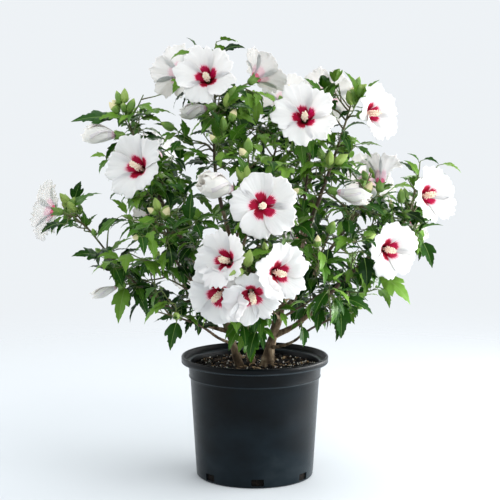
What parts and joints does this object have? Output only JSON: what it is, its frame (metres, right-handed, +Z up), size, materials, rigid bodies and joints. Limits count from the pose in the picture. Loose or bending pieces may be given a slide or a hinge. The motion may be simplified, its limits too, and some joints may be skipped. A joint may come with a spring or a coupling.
{
  "type": "potted rose of sharon shrub",
  "caption": "Flowering rose of sharon shrub with white, red-eyed blooms, standing in a round black nursery pot full of potting mix.",
  "frame": {"origin": "middle of the pot's flat underside", "axes": "+Z up; -Y towards the side with most blooms; +X to the right seen from that side"},
  "size_m": [0.6704, 0.5543, 0.6947],
  "materials": {
    "pot_plastic": "black moulded pot plastic, satin, lightly scuffed",
    "potting_mix": "dark bark mix with white perlite",
    "bark": "grey-brown bark",
    "foliage": "green leaves on thin twigs, with white blooms and green buds"
  },
  "bodies": {
    "root": {"bough_back": "bark", "bough_back_left": "bark", "bough_back_right": "bark", "bough_basal": "bark", "bough_far_left": "bark", "bough_far_right": "bark", "bough_front": "bark", "bough_high_back": "bark", "bough_high_front": "bark", "bough_high_right": "bark", "bough_inner_right": "bark", "bough_low_back_left": "bark", "bough_low_back_right": "bark", "bough_low_left": "bark", "bough_low_right": "bark", "bough_mid_left": "bark", "bough_mid_right": "bark", "foliage_back": "foliage", "foliage_back_left": "foliage", "foliage_back_right": "foliage", "foliage_basal": "foliage", "foliage_far_left": "foliage", "foliage_far_right": "foliage", "foliage_front": "foliage", "foliage_high_back": "foliage", "foliage_high_front": "foliage", "foliage_high_right": "foliage", "foliage_inner_right": "foliage", "foliage_low_back_left": "foliage", "foliage_low_back_right": "foliage", "foliage_low_left": "foliage", "foliage_low_right": "foliage", "foliage_mid_left": "foliage", "foliage_mid_right": "foliage", "foliage_top": "foliage", "foliage_upper_left": "foliage", "foliage_upper_right": "foliage", "pot": "pot_plastic", "potting_mix": "potting_mix", "stem_centre": "bark", "stem_left": "bark", "stem_right": "bark"}
  },
  "joints": []
}
